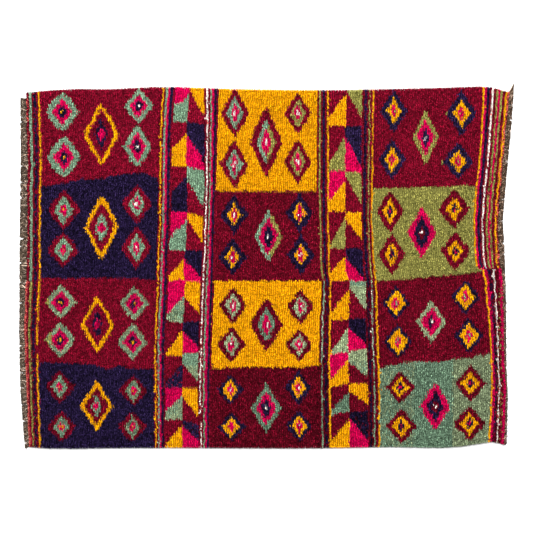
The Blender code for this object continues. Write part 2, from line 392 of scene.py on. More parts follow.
# Rings of each kind of diamond, from the outside in: their wool, their shares of the diamond's half
# length and half width, the swell of their sides (1 straight, less is a star), and the wool of the
# right side where it is another
TIP_ALONG = 0.7
TIP_ACROSS = 1.4
RING_TUCK = 0.02
RIGHT_WOOL_STARTS = 1.4
RINGS = tables("wool along across swell right", {
    "green": (("sea_green", 0.95, 0.95, 1.28), ("pink", 0.66, 0.72, 0.98), ("navy", 0.28, 0.36, 1.10),
        ("saffron", 0.10, 0.13, 1.20)),
    "green_lit": (("sea_green", 0.94, 0.93, 1.08), ("pink", 0.63, 0.68, 0.96),
        ("navy", 0.29, 0.36, 1.10), ("cream", 0.10, 0.12, 1.20)),
    "green_keen": (("sea_green", 0.97, 0.96, 1.05), ("pink", 0.63, 0.64, 1.05),
        ("navy", 0.27, 0.35, 1.00), ("saffron", 0.10, 0.10, 1.20)),
    "madder": (("crimson", 0.97, 0.97, 1.18), ("sea_green", 0.62, 0.75, 1.05),
        ("pink", 0.26, 0.35, 1.30), ("saffron", 0.10, 0.09, 1.20)),
    "madder_lit": (("crimson", 0.97, 0.96, 1.15), ("sea_green", 0.57, 0.70, 1.02),
        ("pink", 0.28, 0.38, 1.30), ("cream", 0.10, 0.10, 1.20)),
    "madder_small": (("crimson", 0.96, 0.96, 1.08), ("sea_green", 0.58, 0.74, 0.95),
        ("pink", 0.26, 0.37, 1.10), ("saffron", 0.11, 0.11, 1.20)),
    "sun_navy": (("saffron", 0.98, 0.98, 1.08), ("crimson", 0.76, 0.83, 1.08),
        ("navy", 0.38, 0.55, 1.00), ("pink", 0.23, 0.20, 1.30)),
    "sun_green": (("saffron", 0.95, 0.96, 1.15), ("crimson", 0.76, 0.78, 1.10),
        ("sea_green", 0.40, 0.44, 1.20), ("pink", 0.26, 0.22, 1.20)),
    "sun_star": (("saffron", 0.97, 0.97, 0.95), ("crimson", 0.70, 0.74, 1.02),
        ("sea_green", 0.28, 0.47, 0.95), ("pink", 0.19, 0.19, 1.30)),
    "sun_slim": (("saffron", 0.98, 0.98, 1.05), ("crimson", 0.77, 0.80, 1.10),
        ("navy", 0.31, 0.49, 1.15), ("pink", 0.20, 0.23, 1.20)),
    "rose_green": (("crimson", 1.01, 1.01, 1.06), ("sea_green", 0.63, 0.73, 0.95),
        ("pink", 0.28, 0.47, 1.10), ("cream", 0.11, 0.15, 1.40)),
    "rose_olive": (("crimson", 0.96, 0.96, 1.05), ("olive", 0.56, 0.70, 0.95),
        ("pink", 0.29, 0.47, 1.10), ("cream", 0.10, 0.14, 1.40)),
    "rose_mixed": (("crimson", 1.02, 1.02, 1.05), ("sea_green", 0.62, 0.67, 1.05, "olive"),
        ("pink", 0.32, 0.42, 1.20), ("cream", 0.09, 0.10, 1.40)),
    "rose_middle": (("crimson", 1.03, 1.03, 1.05), ("sea_green", 0.60, 0.69, 1.05),
        ("pink", 0.31, 0.43, 1.20), ("cream", 0.10, 0.13, 1.40)),
    "night": (("navy", 1.02, 1.01, 0.97), ("saffron", 0.57, 0.63, 0.82), ("pink", 0.25, 0.44, 1.10),
        ("cream", 0.08, 0.14, 1.20)),
    "night_low": (("navy", 1.01, 1.01, 0.99), ("saffron", 0.68, 0.76, 0.86), ("pink", 0.26, 0.45, 1.10),
        ("cream", 0.08, 0.14, 1.20)),
    "night_olive": (("navy", 1.02, 1.02, 0.98), ("saffron", 0.61, 0.68, 0.84),
        ("pink", 0.25, 0.38, 1.00), ("olive", 0.09, 0.12, 1.20)),
    "night_thin": (("navy", 1.00, 1.00, 1.05), ("saffron", 0.73, 0.80, 0.95), ("pink", 0.28, 0.48, 1.05),
        ("moss", 0.12, 0.15, 1.30)),
    "leaf_mixed": (("sea_green", 0.91, 0.92, 1.05, "olive"), ("pink", 0.68, 0.72, 1.08),
        ("navy", 0.36, 0.45, 1.20), ("cream", 0.07, 0.10, 1.30)),
    "leaf": (("sea_green", 0.92, 0.93, 1.00), ("pink", 0.62, 0.66, 1.04), ("navy", 0.33, 0.40, 1.05),
        ("cream", 0.08, 0.10, 1.30)),
    "leaf_slim": (("sea_green", 0.92, 0.93, 1.03), ("pink", 0.65, 0.69, 1.10),
        ("navy", 0.21, 0.36, 0.95), ("cream", 0.10, 0.13, 1.30)),
    "leaf_olive": (("olive", 0.93, 0.94, 0.96), ("pink", 0.62, 0.67, 1.04), ("navy", 0.29, 0.42, 0.95),
        ("cream", 0.10, 0.12, 1.30)),
    "ember": (("crimson", 1.05, 1.05, 1.08), ("saffron", 0.63, 0.69, 0.85), ("navy", 0.28, 0.36, 0.95),
        ("pink", 0.10, 0.15, 1.10)),
    "ember_low": (("crimson", 1.00, 1.00, 1.06), ("saffron", 0.67, 0.72, 0.86),
        ("navy", 0.29, 0.38, 0.95), ("pink", 0.11, 0.16, 1.10)),
    "rose": (("pink", 1.00, 1.00, 1.02), ("navy", 0.60, 0.70, 1.00), ("crimson", 0.26, 0.31, 1.10),
        ("cream", 0.10, 0.10, 1.30)),
}, defaults=(None,))

# Diamonds: their kind, and the chart lines that they reach on each side
DIAMONDS = table("kind left right top bottom", (
    ("green", 46.2, 78.0, 93.2, 130.7), ("green", 47.9, 79.9, 136.8, 177.4),
    ("sun_navy", 84.0, 118.5, 104.0, 164.4), ("green_lit", 123.8, 153.5, 89.0, 122.9),
    ("green_lit", 122.7, 151.7, 124.9, 168.3), ("madder", 48.6, 79.1, 191.6, 228.5),
    ("madder", 48.2, 78.2, 233.7, 265.6), ("sun_green", 84.8, 118, 196, 259),
    ("madder_lit", 122.4, 151.2, 185.5, 222.5), ("madder_lit", 122.4, 150.5, 227.5, 267.7),
    ("green_keen", 45.2, 76.0, 286.3, 318.2), ("green_keen", 45, 75, 322.5, 357.6),
    ("sun_slim", 81, 113.8, 297.6, 351.6), ("green_keen", 119.5, 148.5, 287.5, 320.0),
    ("green_keen", 117.6, 147.3, 324, 359.5), ("madder_small", 45.3, 74.3, 371.3, 403.0),
    ("madder_small", 47.7, 75.5, 412, 441.8), ("sun_star", 79.4, 113.6, 381.0, 431.6),
    ("madder_small", 119.2, 147.6, 376.1, 405.6), ("madder_small", 118.4, 146, 412.4, 442),
    ("rose_green", 221.4, 248.5, 90.4, 136.0), ("rose_green", 221.0, 247.8, 142.0, 187.2),
    ("rose_mixed", 251.2, 281.5, 108.3, 176.0), ("rose_olive", 284.5, 311.6, 93.0, 133.6),
    ("rose_olive", 284.4, 311.5, 140.0, 184.0), ("night", 221, 247.5, 195.6, 234),
    ("night", 219, 246, 239.6, 274.7), ("leaf_mixed", 254, 283, 209.7, 263),
    ("night", 286.7, 312.8, 193.7, 232.6), ("night", 288, 314, 235.8, 274),
    ("rose_green", 220.0, 246.0, 288.9, 322.4), ("rose_green", 218.4, 244.8, 328.1, 361.0),
    ("rose_middle", 251.3, 281.9, 299.9, 350.0), ("rose_green", 288.2, 312.8, 290.4, 323.8),
    ("rose_green", 286.4, 312.2, 330, 359.7), ("night_low", 218.0, 243.3, 376.0, 404.0),
    ("night_low", 218.2, 244.8, 413.6, 440.4), ("leaf", 250.4, 282.0, 382.9, 433.9),
    ("night_low", 285.8, 311.4, 372.0, 403.4), ("night_low", 286.7, 311.9, 411.5, 441.0),
    ("night_olive", 381.0, 407.2, 91.2, 130.9), ("night_olive", 379.6, 405.2, 140.0, 179.0),
    ("leaf_olive", 412, 439.5, 109, 165), ("night_olive", 447.0, 476.9, 92.2, 134.2),
    ("night_olive", 444.0, 472.8, 143.4, 179.0), ("ember", 377.9, 402.8, 193.0, 230.6),
    ("ember", 379.5, 404.3, 236.2, 273.2), ("rose", 408, 436.3, 208.4, 257.5),
    ("ember", 440.1, 468.9, 191.4, 226.5), ("ember", 442.0, 469.3, 234.5, 268.0),
    ("night_thin", 383.4, 408.9, 287.4, 319.2), ("night_thin", 384.6, 412, 325.7, 358),
    ("leaf_slim", 416, 447, 300.8, 342.7), ("night_thin", 451.8, 479.5, 281.8, 312.9),
    ("night_thin", 455.5, 482.9, 319.7, 351.6), ("ember_low", 386.5, 414.4, 372.8, 402.2),
    ("ember_low", 387.1, 416.0, 409.7, 442.5), ("rose", 421.2, 449.6, 383.8, 429.9),
    ("ember_low", 456, 485.4, 366.5, 400.3), ("ember_low", 454.8, 484.8, 407.3, 440),
))

# Split triangles, from the top down: where each cell's slanted line meets the middle seam (peak) and
# the outer seam (foot), where its lower line meets both, and the wool above and below the slanted line
CELLS = tables("peak foot low_seam low_outer outer inner bend", {
    "triangles B left": (
        (92.2, 104.5, 122.3, 122.3, "pink", "sea_green", 2.4),
        (132.9, 149.1, 166.5, 166.5, "crimson", "saffron"),
        (175.4, 191.6, 211.6, 211.6, "crimson", "navy"),
        (219.8, 236.6, 251.6, 249.8, "pink", "sea_green"),
        (258.0, 276.0, 280.2, 280.2, "crimson", "saffron"),
        (295.4, 314.8, 323.5, 319.8, "pink", "sea_green"),
        (330.4, 353.5, 356.0, 356.0, "crimson", "saffron"),
        (362.9, 383.5, 387.9, 387.9, "crimson", "navy"),
        (396.0, 411.6, 419.8, 419.8, "pink", "sea_green"),
        (425.4, 444.8, BOTTOM, BOTTOM, "crimson", "saffron"),
    ),
    "triangles B right": (
        (88.0, 116.6, 121.6, 124.8, "saffron", "crimson"),
        (134.1, 162.3, 166.6, 171.0, "navy", "pink"),
        (179.1, 207.9, 212.3, 217.3, "sea_green", "crimson"),
        (218.5, 242.9, 249.8, 251.0, "saffron", "crimson"),
        (257.9, 277.9, 280.4, 282.3, "navy", "pink"),
        (295.4, 314.8, 323.5, 319.8, "saffron", "crimson"),
        (330.4, 347.3, 354.1, 352.3, "navy", "pink"),
        (363.5, 382.3, 387.9, 389.0, "sea_green", "crimson"),
        (396.6, 416.6, 421.0, 424.8, "saffron", "crimson"),
        (426.0, 441.0, BOTTOM, BOTTOM, "navy", "pink"),
    ),
    "triangles D left": (
        (92.9, 118.5, 126.0, 126.0, "crimson", "saffron"),
        (136.0, 164.1, 171.0, 171.0, "crimson", "olive"),
        (180.4, 202.3, 211.6, 211.6, "pink", "saffron"),
        (218.5, 246.0, 248.5, 248.5, "crimson", "olive"),
        (256.0, 274.0, 280.4, 280.4, "crimson", "saffron"),
        (289.0, 314.0, 319.0, 320.4, "crimson", "saffron"),
        (327.9, 353.5, 351.6, 355.4, "crimson", "sea_green"),
        (359.1, 381.0, 384.1, 386.6, "pink", "saffron"),
        (391.6, 411.0, 411.6, 415.4, "crimson", "sea_green"),
        (418.5, 441.0, BOTTOM, BOTTOM, "crimson", "saffron"),
    ),
    "triangles D right": (
        (90.4, 119.1, 126.6, 126.6, "olive", "crimson"),
        (136.0, 167.3, 171.6, 173.5, "navy", "pink"),
        (176.0, 203.5, 212.3, 212.3, "olive", "crimson"),
        (218.5, 239.8, 248.5, 248.5, "saffron", "crimson"),
        (256.6, 280.4, 281.0, 281.0, "navy", "pink"),
        (288.5, 310.4, 319.0, 318.0, "sea_green", "crimson"),
        (327.9, 343.5, 351.6, 349.1, "navy", "pink"),
        (361.0, 377.9, 384.1, 384.1, "sea_green", "crimson"),
        (391.0, 404.8, 411.6, 411.6, "saffron", "crimson"),
        (418.5, 441.0, BOTTOM, BOTTOM, "navy", "pink"),
    ),
}, defaults=(1.0,))

# Places where the weaver's yarn slips
MENDS = table("yarn left right top bottom", (
    ("crimson", 35.0, 40.5, 345.5, 354.0), ("olive", 446.0, 448.2, 111.0, 115.0),
    ("olive", 442.0, 444.2, 160.5, 164.5),
))

# Lots of a wool in parts of the chart, in turn: its depth of dye, and the share of another wool in it
LOTS = table("yarn dye left right top bottom other share", (
    ("sea_green", 0.85, 415, 453, 352, 450),
    ("sea_green", 0.84, 376, 415, 352, 450, "moss", 0.35),
    ("sea_green", 0.86, 453, 492, 352, 450, "moss", 1.0),
    ("sea_green", 0.78, 329, 349, 388, 412),
    ("sea_green", 1.08, 329, 369, 286, 361, "moss", 1.0),
    ("sea_green", 0.97, 329, 369, 361, 386, "moss", 0.75),
    ("sea_green", 0.96, 412, 450, 296, 347, "moss", 1.0),
    ("sea_green", 1.05, 44, 51, 284, 360, "olive", 0.60),
    ("sea_green", 0.98, 51, 100, 284, 362, "moss", 0.50),
    ("sea_green", 0.80, 100, 154, 284, 364, "moss", 0.60),
    ("sea_green", 0.98, 164, 204, 286, 325, "moss", 0.40),
    ("sea_green", 0.76, 249, 283, 281, 366),
    ("sea_green", 1.12, 215, 249, 281, 366, "moss", 1.0),
    ("sea_green", 1.12, 283, 316, 281, 366, "moss", 1.0),
    ("sea_green", 0.90, 42, 112, 368, 450),
    ("sea_green", 0.73, 112, 154, 368, 450, "moss", 0.50),
    ("sea_green", 0.72, 212, 318, 368, 450),
    ("sea_green", 0.92, 164, 204, 366, 450, "moss", 0.70),
    ("cream", 1.12, 198, 212, 60, 450, "salmon", 0.04),
    ("crimson", 1.14, 172, 204, 60, 281),
    ("crimson", 0.90, 165, 200, 281, 450),
    ("navy", 1.25, 172, 204, 60, 188),
    ("navy", 1.20, 165, 200, 364, 450, "crimson", 0.08),
    ("navy", 1.30, 331, 362, 60, 188),
    ("navy", 1.30, 376, 478, 60, 188),
    ("pink", 0.86, 165, 200, 366, 450),
    ("pink", 0.86, 331, 367, 366, 450),
    ("pink", 0.88, 42, 154, 284, 364),
    ("pink", 0.88, 214, 318, 191, 281),
    ("cream", 1.08, 484, 502, 60, 268, "salmon", 0.12),
    ("cream", 0.92, 484, 502, 268, 450, "salmon", 0.15),
    ("crimson", 0.96, 329, 367, 188, 366),
    ("crimson", 0.71, 329, 367, 366, 450),
    ("crimson", 0.90, 218, 316, 60, 191),
    ("crimson", 0.68, 214, 317, 281, 366),
    ("crimson", 0.83, 376, 476, 188, 281),
    ("crimson", 0.71, 382, 488, 366, 450),
    ("crimson", 0.76, 42, 154, 369, 450),
    ("crimson", 0.70, 318, 332, 281, 450),
    ("crimson", 0.70, 366, 378, 281, 450),
    ("crimson", 0.70, 491, 500, 268, 450),
    ("crimson", 0.95, 18, 31, 60, 281, "salmon", 0.11),
    ("salmon", 0.76, 18, 36, 281, 450, "crimson", 0.15),
    ("salmon", 0.95, 494, 512, 60, 185, "crimson", 0.30),
    ("salmon", 1.0, 494, 512, 185, 268, "crimson", 0.75),
    ("pink", 0.90, 494, 512, 268, 450, "crimson", 0.08),
    ("pink", 0.92, 474, 492, 60, 450),
    ("navy", 1.0, 30, 40, 60, 450, "crimson", 0.22),
    ("navy", 0.76, 318, 330, 284, 366, "crimson", 0.34),
    ("navy", 0.66, 366, 378, 284, 366, "crimson", 0.22),
    ("navy", 0.76, 330, 366, 284, 366),
    ("navy", 0.66, 318, 378, 366, 450, "crimson", 0.10),
    ("navy", 1.0, 366, 376, 60, 190, "crimson", 0.12),
    ("navy", 0.84, 486, 500, 268, 450, "crimson", 0.34),
    ("crimson", 0.95, 497.5, 503, 284, 450, "olive", 0.18),
    ("sea_green", 1.15, 318, 328, 281, 366, "cream", 0.14),
    ("sea_green", 1.15, 369, 377, 281, 366, "cream", 0.14),
    ("sea_green", 1.0, 318, 329, 281, 450, "crimson", 0.14),
    ("sea_green", 1.0, 369, 377, 281, 450, "crimson", 0.14),
    ("sea_green", 1.0, 154, 165.3, 60, 450, "pink", 0.10),
    ("olive", 0.90, 484, 500, 60, 268, "crimson", 0.12),
    ("olive", 0.86, 24, 36, 281, 450, "crimson", 0.10),
), defaults=(None, 0.0))

# The short ends, down the chart: how far out the warp ends reach, and how far their tips lean up, then
# the lines where they part
LEFT_END = table("across tips lean", (
    (98, 19.9, 0.5), (160, 20.3, 0.0), (250, 19.1, 0.0), (345, 18.8, 0.0), (390, 19.9, 0.0),
    (415, 21.7, 0.0), (446, 24.4, -3.0),
))
RIGHT_END = table("across tips lean", (
    (92, 514.6, 9.3), (100, 513.8, 3.0), (130, 511.5, 0.5), (160, 508.5, 0.0), (190, 505.8, 0.0),
    (220, 503.2, 0.0), (250, 505.0, 0.0), (310, 506.6, 0.0), (360, 506.8, 0.0), (400, 508.2, 0.0),
    (444, 507.0, 0.0),
))
LEFT_GAPS = (117, 122, 166, 182, 189, 197, 238.6, 246, 263, 282, 303, 346, 353, 373, 388, 405, 421, 440.7)
RIGHT_GAPS = (107, 121, 131, 150, 161, 199, 221, 243.6, 254, 368, 403)
FRINGES = table("name node end seam outward gaps warp seed", (
    ("fringe_left_wool", "fringe_left", LEFT_END, "left_edge", -1.0, LEFT_GAPS, LEFT_WARP, SEED + 3),
    ("fringe_right_wool", "fringe_right", RIGHT_END, "right_edge", 1.0, RIGHT_GAPS, RIGHT_WARP, SEED + 4),
))


def mix(low, high, share):
    """Value at a share of the way from low to high."""
    return low + (high - low) * share


def smooth_step(value):
    """Eased step from 0 at 0 to 1 at 1."""
    value = np.clip(value, 0.0, 1.0)
    return value * value * (3.0 - 2.0 * value)


def noise_field(x, y, spacing, layer):
    """Smooth noise between about -1 and 1 over the rug, with a spacing in metres."""
    height = layer * NOISE_LAYER
    return np.array([noise.noise((a, b, height)) for a, b in zip(x / spacing, y / spacing)])


def column_at(rows, column, place):
    """A column of a table at places along its first column."""
    return np.interp(place, [row[0] for row in rows], [getattr(row, column) for row in rows])


# The chart

def seam_at(name, across):
    """Where a seam runs along the chart at lines across it."""
    phase = list(SEAMS).index(name) * SEAM_SHIFT
    across = np.asarray(across, dtype=float)
    along = np.interp(across, SEAM_LINES, SEAMS[name])
    for waver in WAVERS:
        wave = np.sin(across * waver.pace + phase * waver.shift)
        along = along + waver.size * (wave * np.sin(across * waver.beat + phase * waver.beat_shift))
    return along


def edge_at(column, along):
    """Where the upper or the lower edge runs at lines along the chart."""
    return column_at(EDGES, column, along)


def to_rug(along, across):
    """Chart lines as X and Y on the rug, in metres."""
    return (along - MIDDLE_ALONG) * CHART_SQUARE, (MIDDLE_ACROSS - across) * CHART_SQUARE


def line_of_knots(start, stop, share, knot, inset):
    """Places along and across the chart of knots on a line at a share of the way between two seams, and
    where those seams run. Each knot is a share of the way between the long edges, less an inset."""
    along = np.full(np.shape(knot), MIDDLE_ALONG)
    for _ in range(SETTLING_ROUNDS):
        across = mix(edge_at("upper", along) + inset, edge_at("lower", along) - inset, knot)
        low, high = seam_at(start, across), seam_at(stop, across)
        along = mix(low, high, share)
    return along, across, low, high


def stripes_of(band):
    """The stripes of a band, each with the shares of the band's width that it runs between."""
    stripes, begins = [], 0.0
    for pattern, ends, lines in band.stripes:
        stripes.append(Stripe(pattern, begins, ends, lines))
        begins = ends
    return stripes


def within(area, along, across):
    """Which points lie in an area of the chart."""
    return (along > area.left) & (along < area.right) & (across > area.top) & (across < area.bottom)


def panel_yarns(band, along, across, yarn, dye):
    """Fills in the wool of one wide band's panels and of the diamonds."""
    left_over = np.ones(along.shape, dtype=bool)
    for panel in PANELS[band]:
        keys, values = zip(*panel.border)
        here = left_over & (across < np.interp(along, keys, values))
        yarn[here] = YARN_NAMES.index(panel.yarn)
        dye[here] = panel.dye
        left_over &= ~here
    for diamond in DIAMONDS:
        from_middle = along - (diamond.left + diamond.right) / 2
        a = np.abs(from_middle) / ((diamond.right - diamond.left) / 2 + TIP_ALONG)
        b = np.abs(across - (diamond.top + diamond.bottom) / 2)
        b = b / ((diamond.bottom - diamond.top) / 2 + TIP_ACROSS)
        for number, ring in enumerate(RINGS[diamond.kind]):
            tuck = RING_TUCK if number else 0.0
            inside = (a / (ring.along - tuck)) ** ring.swell + (b / (ring.across - tuck)) ** ring.swell < 1.0
            yarn[inside] = YARN_NAMES.index(ring.wool)
            if ring.right:
                yarn[inside & (from_middle > RIGHT_WOOL_STARTS)] = YARN_NAMES.index(ring.right)
            dye[inside] = SMALL_PINK_DYE if ring.wool == "pink" else 1.0


def triangle_yarns(half, share, across, yarn):
    """Fills in the wool of one half of a band of split triangles."""
    inward = 1.0 - share if half.endswith("right") else share
    top = np.full(across.shape, TOP)
    for cell in CELLS[half]:
        bottom = mix(cell.low_outer, cell.low_seam, inward)
        here = (across >= top) & (across < bottom)
        slant = mix(cell.foot, cell.peak, inward ** cell.bend)
        yarn[here & (across < slant)] = YARN_NAMES.index(cell.outer)
        yarn[here & (across >= slant)] = YARN_NAMES.index(cell.inner)
        top = bottom


def chart_at(along, across, drift_along=0.0, drift_across=0.0):
    """Wool of the chart at points on it, as its number in YARNS, and its depth of dye. Inside a wide
    band the pattern wanders by the drift, and the stripes by a part of it."""
    drift_along = np.broadcast_to(drift_along, along.shape)
    drift_across = np.broadcast_to(drift_across, along.shape)
    yarn = np.zeros(along.shape, dtype=int)
    dye = np.ones(along.shape)
    for band in BANDS:
        low, high = seam_at(band.start, across), seam_at(band.stop, across)
        share = (along + STRIPE_DRIFT * drift_along - low) / (high - low)
        if band.start == "left_edge":
            share = np.maximum(share, EDGE_SHARE)
        if band.stop == "right_edge":
            share = np.minimum(share, 1.0 - EDGE_SHARE)
        in_band = (across >= band.top) & (across < band.bottom)
        for stripe in stripes_of(band):
            here = in_band & (share >= stripe.begins) & (share < stripe.ends)
            if stripe.pattern in YARNS:
                yarn[here] = YARN_NAMES.index(stripe.pattern)
                dye[here] = STRIPE_DYES_AND_SHADE.get(stripe.pattern, 1.0)
                continue
            part_yarn, part_dye = yarn[here], dye[here]
            wandered = across[here] + drift_across[here]
            if stripe.pattern in PANELS:
                panel_yarns(stripe.pattern, along[here] + drift_along[here], wandered, part_yarn, part_dye)
            else:
                triangle_yarns(stripe.pattern, share[here], wandered, part_yarn)
            yarn[here], dye[here] = part_yarn, part_dye
    for mend in MENDS:
        yarn[within(mend, along, across)] = YARN_NAMES.index(mend.yarn)
    chance = np.random.default_rng(SEED + 9).uniform(0.0, 1.0, along.shape)
    for lot in LOTS:
        here = within(lot, along, across) & (yarn == YARN_NAMES.index(lot.yarn))
        dye[here] *= lot.dye
        if lot.other:
            yarn[here & (chance < lot.share)] = YARN_NAMES.index(lot.other)
    return yarn, dye


# Locks of the pile

def outward_faces(bm):
    """Faces of a bmesh, turned outward, as rows of point numbers. It frees the bmesh."""
    bmesh.ops.recalc_face_normals(bm, faces=bm.faces[:])
    bm.verts.index_update()
    faces = [[vert.index for vert in face.verts] for face in bm.faces]
    bm.free()
    return faces


def lock_pattern():
    """One lock as numbers: for each point its place (0 root, 1 shoulder, 2 tip) and its turn round the
    lock, with the faces between them."""
    bm = bmesh.new()
    bmesh.ops.create_cone(bm, cap_ends=True, segments=3, radius1=1.0, radius2=0.0, depth=1.0)
    low_cap = min(bm.faces, key=lambda face: face.calc_center_median().z)
    root = bmesh.ops.poke(bm, faces=[low_cap])["verts"][0]
    root.co.z = -1.5
    place = np.array([0 if vert.co.z < -1.0 else 1 if vert.co.z < 0 else 2 for vert in bm.verts])
    turn = np.array([(vert.co.y, vert.co.x) for vert in bm.verts])
    return place, turn, outward_faces(bm)


def row_locks(rng):
    """Every lock in chart squares, line by line: its place and its knot's place on the chart, then the
    width of its line in metres, its line's number, and how far down in the groove of its row it is."""
    columns = []
    line = 0
    inset = KNOT_INSET / CHART_SQUARE
    for band in BANDS:
        for stripe in stripes_of(band):
            for number in range(stripe.lines):
                line += 1
                side = number % LOCKS_A_KNOT
                if side == 0:
                    slip = rng.normal(0.0, KNOT_SLIP, (2, KNOTS_ACROSS))
                    row_lines = min(LOCKS_A_KNOT, stripe.lines - number)
                    row_share = mix(stripe.begins, stripe.ends, (number + row_lines / 2) / stripe.lines)
                aside = (0.5 - side) * ROW_PINCH if row_lines > 1 else 0.0
                share = mix(stripe.begins, stripe.ends, (number + 0.5 + aside) / stripe.lines)
                groove = side if stripe.lines > NARROW_LINES else 0.5
                knots = (np.arange(KNOTS_ACROSS) + 0.5 + 0.5 * (line % 2 - 0.5)) / KNOTS_ACROSS
                knots = knots + rng.uniform(-KNOT_JOG, KNOT_JOG, KNOTS_ACROSS) / KNOTS_ACROSS
                along, across, low, high = line_of_knots(
                    band.start, band.stop, share, np.clip(knots, 0.0, 1.0), inset)
                pitch = (high - low) * (stripe.ends - stripe.begins) / stripe.lines
                knot_along = mix(low, high, row_share) + slip[0]
                keep = (across >= band.top) & (across < band.bottom)
                columns.append(np.stack([along, across, knot_along, across + slip[1], pitch * CHART_SQUARE,
                                         np.full(KNOTS_ACROSS, line),
                                         np.full(KNOTS_ACROSS, groove)])[:, keep])
    return np.concatenate(columns, axis=1)


def rim_distance(along, across):
    """How far points of the chart are inside the pile's outline, in metres."""
    return CHART_SQUARE * np.minimum.reduce([
        across - edge_at("upper", along),
        edge_at("lower", along) - across,
        along - seam_at("left_edge", across),
        seam_at("right_edge", across) - along,
    ])


def pile_locks():
    """Root, shoulder and tip of each lock of the rows, with its width, wool and shade."""
    rng = np.random.default_rng(SEED)
    along, across, knot_along, knot_across, pitch, line, groove = row_locks(rng)
    count = len(along)
    slip = rng.normal(0.0, LOCK_SLIP, (2, count))
    x, y = to_rug(along, across)
    drift_along = DRIFT * noise_field(x, y, DRIFT_SPACING, 5)
    drift_across = DRIFT * noise_field(x, y, DRIFT_SPACING, 6)
    yarn, dye = chart_at(knot_along + slip[0], knot_across + slip[1], drift_along, drift_across)
    x = x + rng.normal(0.0, LOCK_JITTER, count)
    rim = smooth_step(rim_distance(along, across) / RIM_REACH)

    lean = LEAN_WANDER * noise_field(x, y, LEAN_SPACING, 1) + rng.normal(0.0, LEAN_UNEVEN, count)
    lean = np.clip(lean, -LEAN_MOST, LEAN_MOST) * mix(RIM_LEAN, 1.0, rim)
    nap = noise_field(x, y, NAP_SPACING, 2) + rng.normal(0.0, NAP_UNEVEN, count)
    forward = np.where(nap > NAP_BACK, -1.0, 1.0)
    heading = np.stack([np.sin(lean), forward * np.cos(lean), np.zeros(count)], axis=1)

    clump = noise_field(x, y, CLUMP_SPACING, 3)
    slope_x = (noise_field(x + SLOPE_STEP, y, CLUMP_SPACING, 3) - clump) / SLOPE_STEP * CLUMP_SPACING
    slope_y = (noise_field(x, y + SLOPE_STEP, CLUMP_SPACING, 3) - clump) / SLOPE_STEP * CLUMP_SPACING
    x = x + CLUMP_PULL * slope_x * rim
    y = y + CLUMP_PULL * slope_y * rim

    top = PILE_TOP + LUMP_HEIGHT * noise_field(x, y, LUMP_SPACING, 4)
    top = top + CLUMP_HEIGHT * clump - PILE_UNEVEN * rng.beta(*UNEVEN_SHAPE, count)
    top = top - RIM_DROP * (1.0 - rim) - GROOVE_DEPTH * groove
    length = (LOCK_LENGTH * rng.uniform(*LENGTH_VARIES, count) * mix(RIM_LENGTH, 1.0, rim))[:, None]
    middle = np.stack([x, y, top], axis=1)
    shoulder = middle - heading * (length * SHOULDER_SHARE)
    end = middle + heading * (length * (1.0 - SHOULDER_SHARE))
    end[:, 2] -= rng.uniform(*TIP_DROPS, count)
    root = shoulder - heading * ROOT_BACK + rng.normal(0.0, ROOT_SCATTER, (count, 3))
    root[:, 2] = GROUND_THICK - ROOT_SUNK
    width = np.clip(pitch, *LOCK_WIDTHS) * LOCK_OVERLAP * rng.uniform(*WIDTH_VARIES, count)
    # Locks down in a row's groove take painted shade and the lines beside it painted light, as much as each
    # wool's groove column says, on top of the groove's real depth
    groove_painted_shade = np.array([wool.groove for wool in YARNS.values()])[yarn]
    shade = dye * (1.0 + ROW_SHADE * np.sin(line * GOLDEN_ANGLE) + groove_painted_shade * (0.5 - groove))
    shade = shade * (1.0 + DARK_DYE_UNEVEN * (1.0 - np.minimum(dye, 1.0)) * rng.uniform(-1.0, 1.0, count))
    return root, shoulder, end, width, yarn, shade


def rim_places(rng):
    """Places of the locks that hang over the rim, side by side: where they leave the ground in X and Y,
    their heading, where on the chart they take their wool, their row, and four chances."""
    for side in LONG_SIDES:
        for row in RIM_ROWS:
            left = float(seam_at("left_edge", side.left_corner)) + CORNER_INSET
            right = float(seam_at("right_edge", side.right_corner)) - CORNER_INSET
            count = int((right - left) * CHART_SQUARE / RIM_SPACING)
            along = np.linspace(left, right, count) + rng.uniform(-RIM_JOG, RIM_JOG, count)
            edge = edge_at(side.edge, along)
            x, y = to_rug(along, edge)
            away = np.stack([rng.normal(0.0, EDGE_FAN, count), np.full(count, side.outward)], axis=1)
            across = edge + side.outward * EDGE_WOOL
            yield x, y, away, along, across, row, rng.uniform(0.0, 1.0, (count, 4))
    for name, outward in (("left_edge", -1.0), ("right_edge", 1.0)):
        for row in RIM_ROWS:
            count = int(RIM_LINES * CHART_SQUARE / RIM_SPACING)
            across = np.linspace(RIM_TOP, RIM_BOTTOM, count) + rng.uniform(-RIM_JOG, RIM_JOG, count)
            edge = seam_at(name, across)
            x, y = to_rug(edge, across)
            away = np.stack([np.full(count, outward), rng.normal(0.0, END_FAN, count)], axis=1)
            x = x - outward * (END_TUCK + rng.uniform(-END_RAGGED, END_RAGGED, count))
            along = edge - outward * END_WOOL
            yield x, y, away, along, across, row, rng.uniform(0.0, 1.0, (count, 4))


